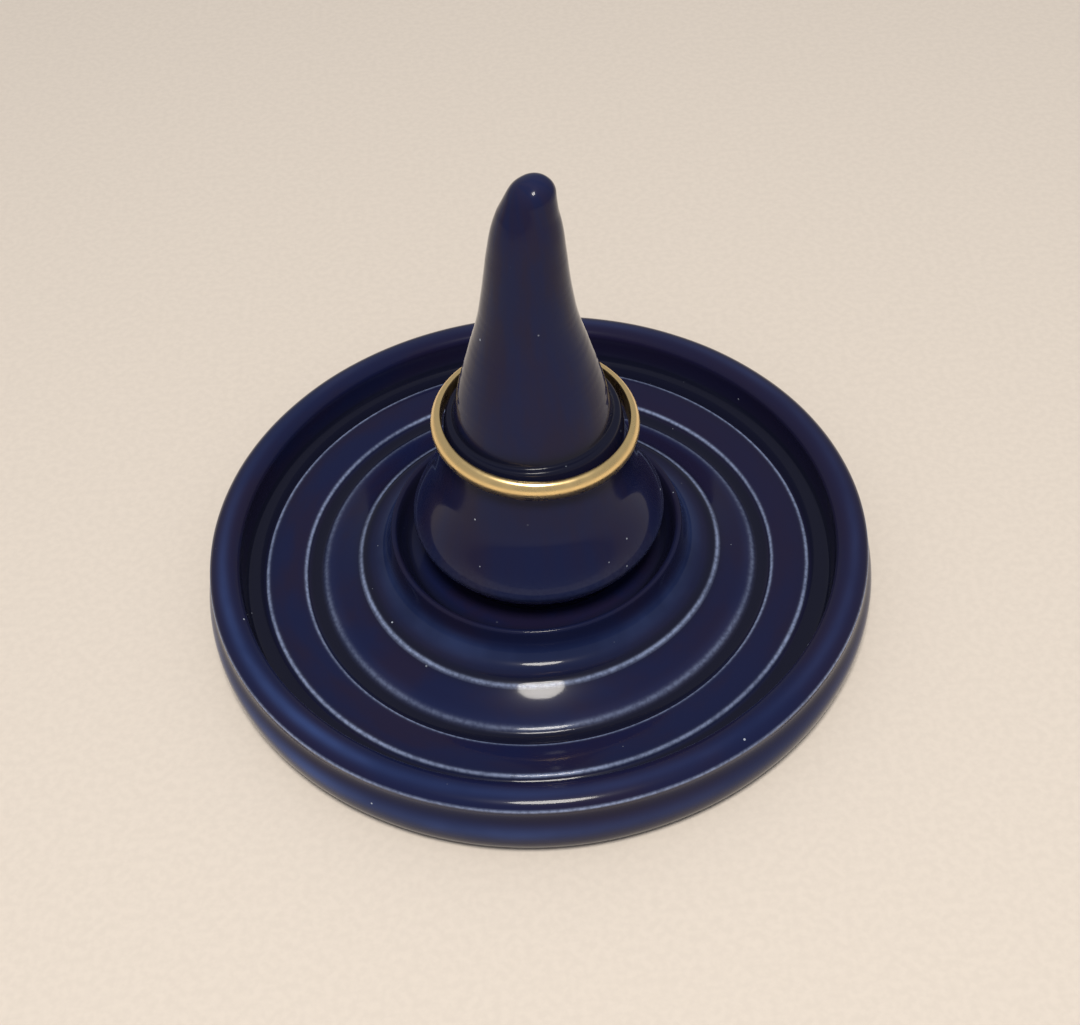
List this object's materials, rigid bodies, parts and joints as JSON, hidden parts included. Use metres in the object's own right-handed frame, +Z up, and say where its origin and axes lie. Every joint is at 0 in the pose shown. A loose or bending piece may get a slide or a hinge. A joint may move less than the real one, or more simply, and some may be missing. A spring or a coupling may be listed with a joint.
{
  "type": "ring dish",
  "caption": "Round glazed ring dish with stepped concentric rings and a tapering post on a bulb, holding a plain band that lifts off.",
  "frame": {"origin": "centre of the dish's foot ring, on the surface that it stands on", "axes": "+Z up along the post, -Y towards the viewer of the picture, +X to the viewer's right, the way the post's tip leans"},
  "size_m": [0.0712, 0.0712, 0.0529],
  "materials": {
    "glaze": "gloss cobalt glaze, lighter on edges",
    "gold": "polished yellow gold, lightly worn"
  },
  "bodies": {
    "dish": {"dish": "glaze", "post": "glaze"},
    "band": {"ring_band": "gold"}
  },
  "joints": [
    {"name": "band_lift", "type": "slide", "parent": "dish", "child": "band", "axis": [0, 0, 1], "range_m": [0, 0.034]}
  ]
}
